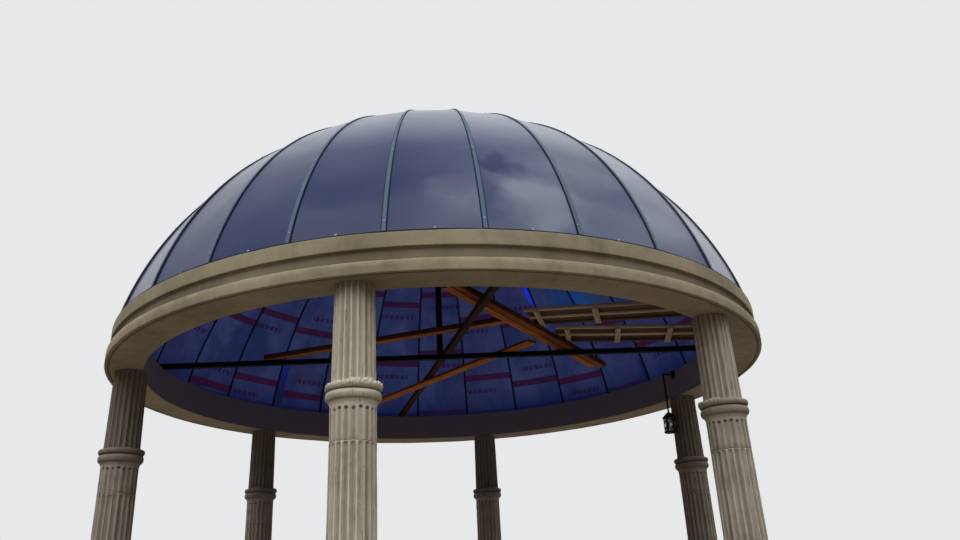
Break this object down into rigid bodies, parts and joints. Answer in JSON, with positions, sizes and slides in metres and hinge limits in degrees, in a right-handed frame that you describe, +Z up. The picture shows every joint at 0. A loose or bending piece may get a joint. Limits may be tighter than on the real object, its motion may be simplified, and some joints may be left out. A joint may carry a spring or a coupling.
{
  "type": "domed gazebo",
  "caption": "Open round gazebo: fluted concrete columns on square plinths carry a moulded ring beam and a ribbed dome of dark blue sheet, with a steel tie and king post.",
  "frame": {"origin": "on the ground, at the centre of the ring of columns", "axes": "+Z up; -Y towards the front column, so columns stand at -90, -30, 30, 90, 150 and 210 degrees from +X"},
  "size_m": [5, 5.024, 5.2756],
  "materials": {
    "concrete": "grey-brown cast and rendered concrete, streaked and worn",
    "dome_sheet": "dark blue glossy roofing sheet with a printed protective film inside",
    "rib_steel": "dark painted steel",
    "cover_strip": "blue cover strip with dark sealed edges",
    "black_steel": "black painted steel",
    "sawn_timber": "rough sawn orange-brown timber",
    "dark_timber": "dark weathered timber",
    "form_board": "pale rails and battens with dark boards",
    "lantern_glass": "clear glass"
  },
  "bodies": {
    "root": {"column_bases": "concrete", "column_1_shaft": "concrete", "column_1_head": "concrete", "ring_beam_1": "concrete", "column_2_shaft": "concrete", "column_2_head": "concrete", "ring_beam_2": "concrete", "column_3_shaft": "concrete", "column_3_head": "concrete", "ring_beam_3": "concrete", "column_4_shaft": "concrete", "column_4_head": "concrete", "ring_beam_4": "concrete", "column_5_shaft": "concrete", "column_5_head": "concrete", "ring_beam_5": "concrete", "column_6_shaft": "concrete", "column_6_head": "concrete", "ring_beam_6": "concrete", "dome_sheets_1": "dome_sheet", "dome_sheets_2": "dome_sheet", "dome_sheets_3": "dome_sheet", "dome_sheets_4": "dome_sheet", "dome_sheets_5": "dome_sheet", "dome_sheets_6": "dome_sheet", "dome_sheets_7": "dome_sheet", "dome_ribs_1": "rib_steel", "cover_strips_1": "cover_strip", "dome_ribs_2": "rib_steel", "cover_strips_2": "cover_strip", "foot_ring": "rib_steel", "crown_hub": "rib_steel", "crown_cap": "cover_strip", "tie_tube": "black_steel", "king_post": "black_steel", "rear_batten": "sawn_timber", "long_prop": "dark_timber", "plank_pair": "sawn_timber", "long_batten": "sawn_timber", "board_frame_front": "form_board", "board_frame_rear": "form_board", "lantern_arm": "black_steel", "lantern": "black_steel", "lantern_glass": "lantern_glass"}
  },
  "joints": []
}
